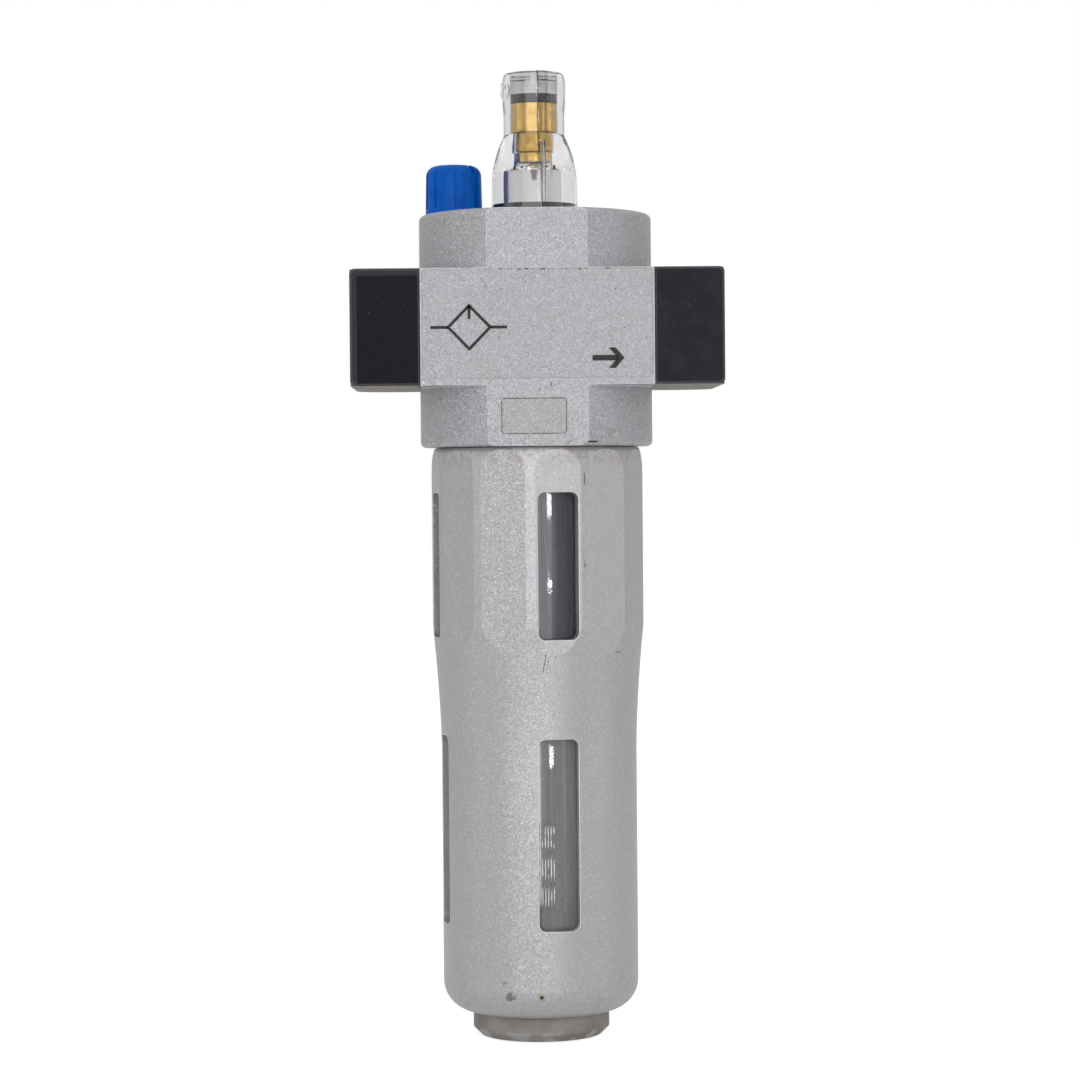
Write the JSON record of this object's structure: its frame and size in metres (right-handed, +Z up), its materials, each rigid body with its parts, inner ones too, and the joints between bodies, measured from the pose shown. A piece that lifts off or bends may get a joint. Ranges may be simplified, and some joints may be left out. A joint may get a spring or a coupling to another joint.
{
  "type": "air line lubricator",
  "caption": "Inline compressed air lubricator with a cast housing, port blocks, clear sight dome, filler plug and a faceted metal guard around a clear oil bowl.",
  "frame": {"origin": "centre of the inlet port's mouth, on the flow axis", "axes": "+X along the flow to the outlet, +Z up, the front with the signs faces -Y"},
  "size_m": [0.064, 0.0372, 0.169],
  "materials": {
    "housing_paint": "satin silver paint",
    "guard_paint": "satin silver paint",
    "cast_metal": "bare casting",
    "black_plastic": "gloss",
    "blue_plastic": "satin",
    "white_plastic": "satin",
    "clear_plastic": "clear gloss",
    "bowl_plastic": "clear gloss",
    "tube_plastic": "milky",
    "brass": "turned",
    "sintered_bronze": "sintered",
    "steel": "zinc plated",
    "rubber": "matte"
  },
  "bodies": {
    "body": {"housing": "housing_paint", "venturi_sleeve": "white_plastic", "drip_jet": "brass", "sight_dome": "clear_plastic", "dome_seal": "rubber", "siphon_fitting": "white_plastic", "siphon_tube": "tube_plastic", "siphon_filter": "sintered_bronze", "inlet_block": "cast_metal", "outlet_block": "cast_metal", "inlet_cover": "black_plastic", "outlet_cover": "black_plastic", "inlet_seal": "rubber", "outlet_seal": "rubber", "inlet_screws": "steel", "outlet_screws": "steel"},
    "metering_lift": {"metering_seal": "rubber"},
    "metering_spin": {"metering_screw": "brass", "metering_head": "clear_plastic"},
    "filler_lift": {"filler_seal": "rubber"},
    "filler_spin": {"filler_plug": "blue_plastic"},
    "bowl_drop_body": {"bowl": "bowl_plastic", "bowl_seal": "rubber", "end_nut": "cast_metal"},
    "guard_spin": {"bowl_guard": "guard_paint"},
    "ball": {"check_ball": "steel"}
  },
  "joints": [
    {"name": "metering_rise", "type": "slide", "parent": "body", "child": "metering_lift", "axis": [0, 0, 1], "range_m": [0, 0.00075]},
    {"name": "metering_turn", "type": "hinge", "parent": "metering_lift", "child": "metering_spin", "pos_m": [0.032, 0, 0.04], "axis": [0, 0, 1], "range_deg": [0, 540]},
    {"name": "filler_rise", "type": "slide", "parent": "body", "child": "filler_lift", "axis": [0, 0, 1], "range_m": [0, 0.005]},
    {"name": "filler_turn", "type": "hinge", "parent": "filler_lift", "child": "filler_spin", "pos_m": [0.0178, 0, 0.02], "axis": [0, 0, 1], "range_deg": [0, 1440]},
    {"name": "bowl_drop", "type": "slide", "parent": "body", "child": "bowl_drop_body", "axis": [0, 0, -1], "range_m": [0, 0.006]},
    {"name": "guard_turn", "type": "hinge", "parent": "bowl_drop_body", "child": "guard_spin", "pos_m": [0.032, 0, -0.06], "axis": [0, 0, -1], "range_deg": [0, 1080]},
    {"name": "ball_lift", "type": "slide", "parent": "body", "child": "ball", "axis": [0, 0, 1], "range_m": [0, 0.001]}
  ],
  "couplings": [
    {"joint": "metering_turn", "follows": "metering_rise", "rad_per_m": 12566},
    {"joint": "filler_turn", "follows": "filler_rise", "rad_per_m": 5026.5},
    {"joint": "bowl_drop", "follows": "guard_turn", "m_per_rad": 0.00031831}
  ]
}
